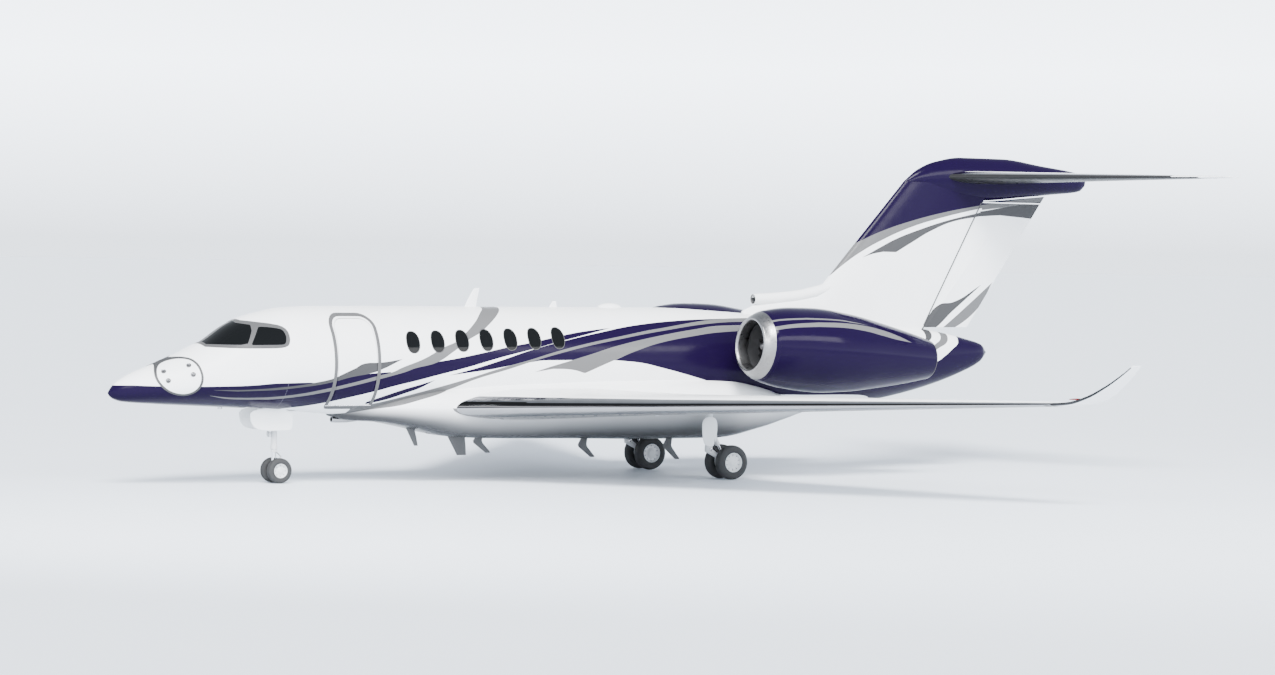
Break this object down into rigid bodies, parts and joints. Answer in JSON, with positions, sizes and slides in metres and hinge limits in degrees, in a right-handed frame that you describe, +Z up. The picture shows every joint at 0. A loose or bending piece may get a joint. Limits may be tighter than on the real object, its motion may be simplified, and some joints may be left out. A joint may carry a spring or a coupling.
{
  "type": "business jet",
  "caption": "White and navy business jet with rear engines, a T-tail, upswept winglets and a left airstair door, parked on its gear.",
  "frame": {"origin": "on the ground under the middle of the aircraft's length, on its plane of symmetry", "axes": "+X aft towards the tail, +Y to starboard, +Z up"},
  "size_m": [22.27, 21.8552, 6.463],
  "materials": {
    "white_paint": "gloss white paint",
    "blue_paint": "gloss navy paint",
    "bare_metal": "polished",
    "gear_metal": "satin grey paint",
    "dark_metal": "heat-darkened",
    "rubber": "matte",
    "dark_glass": "tinted",
    "cabin_trim": "matte",
    "seat_leather": "satin"
  },
  "bodies": {
    "airframe": {"aft_bulkhead": "cabin_trim", "aft_fuselage": "white_paint", "belly_fairing": "white_paint", "cabin_floor": "cabin_trim", "cabin_seats_left": "seat_leather", "cabin_seats_right": "seat_leather", "cabin_shell": "white_paint", "cabin_windows_left": "dark_glass", "cabin_windows_right": "dark_glass", "cockpit_bulkhead": "cabin_trim", "engine_core_left": "dark_metal", "engine_core_right": "dark_metal", "fin": "white_paint", "inlet_lip_left": "bare_metal", "inlet_lip_right": "bare_metal", "instrument_panel": "dark_metal", "main_gear_door_left": "white_paint", "main_gear_door_right": "white_paint", "main_leg_left": "gear_metal", "main_leg_right": "gear_metal", "nacelle_left": "blue_paint", "nacelle_right": "blue_paint", "nose_gear_door_left": "white_paint", "nose_gear_door_right": "white_paint", "nose_leg": "gear_metal", "nose_section": "white_paint", "pilot_seat_left": "seat_leather", "pilot_seat_right": "seat_leather", "pylon_left": "white_paint", "pylon_right": "white_paint", "radome": "white_paint", "stabiliser_left": "white_paint", "stabiliser_right": "white_paint", "tail_bullet": "blue_paint", "tail_cone": "blue_paint", "windshield": "dark_glass", "wing_left": "white_paint", "wing_right": "white_paint"},
    "door": {"cabin_door": "white_paint"},
    "rudder": {"rudder": "white_paint"},
    "elevator_left": {"elevator_left": "white_paint"},
    "elevator_right": {"elevator_right": "white_paint"},
    "flap_inboard_left": {"flap_inboard_left": "white_paint"},
    "flap_inboard_right": {"flap_inboard_right": "white_paint"},
    "flap_outboard_left": {"flap_outboard_left": "white_paint"},
    "flap_outboard_right": {"flap_outboard_right": "white_paint"},
    "aileron_left": {"aileron_left": "white_paint"},
    "aileron_right": {"aileron_right": "white_paint"},
    "nose_steering": {"nose_fork": "gear_metal"},
    "nose_wheels": {"nose_wheel_left": "rubber", "nose_wheel_right": "rubber"},
    "main_wheels_left": {"main_wheel_left_inner": "rubber", "main_wheel_left_outer": "rubber"},
    "main_wheels_right": {"main_wheel_right_inner": "rubber", "main_wheel_right_outer": "rubber"},
    "fan_left": {"fan_left": "dark_metal"},
    "fan_right": {"fan_right": "dark_metal"}
  },
  "joints": [
    {"name": "door_hinge", "type": "hinge", "parent": "airframe", "child": "door", "pos_m": [-6.63, -0.62898, 1.465], "axis": [0.9972, -0.075, 0], "range_deg": [0, 120]},
    {"name": "rudder_hinge", "type": "hinge", "parent": "airframe", "child": "rudder", "pos_m": [7.56228, 0, 4.23], "axis": [0.4816, 0, 0.8764], "range_deg": [-25, 25]},
    {"name": "elevator_hinge_left", "type": "hinge", "parent": "airframe", "child": "elevator_left", "pos_m": [10.085, -2.43, 6.06968], "axis": [-0.3446, 0.9387, -0.0076], "range_deg": [-25, 20]},
    {"name": "elevator_hinge_right", "type": "hinge", "parent": "airframe", "child": "elevator_right", "pos_m": [10.085, 2.43, 6.06968], "axis": [0.3446, 0.9387, 0.0076], "range_deg": [-25, 20]},
    {"name": "flap_hinge_inboard_left", "type": "hinge", "parent": "airframe", "child": "flap_inboard_left", "pos_m": [0.5414, -2.695, 1.5246], "axis": [0.0084, 0.9992, -0.0396], "range_deg": [0, 35]},
    {"name": "flap_hinge_outboard_left", "type": "hinge", "parent": "airframe", "child": "flap_outboard_left", "pos_m": [1.12194, -5.17, 1.63405], "axis": [-0.4035, 0.9141, -0.0394], "range_deg": [0, 35]},
    {"name": "aileron_hinge_left", "type": "hinge", "parent": "airframe", "child": "aileron_left", "pos_m": [2.47719, -8.24, 1.76649], "axis": [-0.4035, 0.9141, -0.0394], "range_deg": [-20, 20]},
    {"name": "flap_hinge_inboard_right", "type": "hinge", "parent": "airframe", "child": "flap_inboard_right", "pos_m": [0.5414, 2.695, 1.5246], "axis": [-0.0084, 0.9992, 0.0396], "range_deg": [0, 35]},
    {"name": "flap_hinge_outboard_right", "type": "hinge", "parent": "airframe", "child": "flap_outboard_right", "pos_m": [1.12194, 5.17, 1.63405], "axis": [0.4035, 0.9141, 0.0394], "range_deg": [0, 35]},
    {"name": "aileron_hinge_right", "type": "hinge", "parent": "airframe", "child": "aileron_right", "pos_m": [2.47719, 8.24, 1.76649], "axis": [0.4035, 0.9141, 0.0394], "range_deg": [-20, 20]},
    {"name": "nose_steer", "type": "hinge", "parent": "airframe", "child": "nose_steering", "pos_m": [-7.835, 0, 0.63], "axis": [0, 0, 1], "range_deg": [-70, 70]},
    {"name": "nose_wheels_spin", "type": "hinge", "parent": "nose_steering", "child": "nose_wheels", "pos_m": [-7.785, 0, 0.23705], "axis": [0, 1, 0], "continuous": true},
    {"name": "main_wheels_spin_left", "type": "hinge", "parent": "airframe", "child": "main_wheels_left", "pos_m": [1.115, -1.55, 0.33581], "axis": [0, 1, 0], "continuous": true},
    {"name": "main_wheels_spin_right", "type": "hinge", "parent": "airframe", "child": "main_wheels_right", "pos_m": [1.115, 1.55, 0.33581], "axis": [0, 1, 0], "continuous": true},
    {"name": "fan_spin_left", "type": "hinge", "parent": "airframe", "child": "fan_left", "pos_m": [1.77393, -1.99, 2.59931], "axis": [0.9976, 0, -0.0698], "continuous": true},
    {"name": "fan_spin_right", "type": "hinge", "parent": "airframe", "child": "fan_right", "pos_m": [1.77393, 1.99, 2.59931], "axis": [0.9976, 0, -0.0698], "continuous": true}
  ],
  "couplings": [
    {"joint": "elevator_hinge_right", "follows": "elevator_hinge_left", "ratio": 1},
    {"joint": "flap_hinge_outboard_left", "follows": "flap_hinge_inboard_left", "ratio": 1},
    {"joint": "flap_hinge_inboard_right", "follows": "flap_hinge_inboard_left", "ratio": 1},
    {"joint": "flap_hinge_outboard_right", "follows": "flap_hinge_inboard_left", "ratio": 1},
    {"joint": "aileron_hinge_right", "follows": "aileron_hinge_left", "ratio": -1}
  ]
}
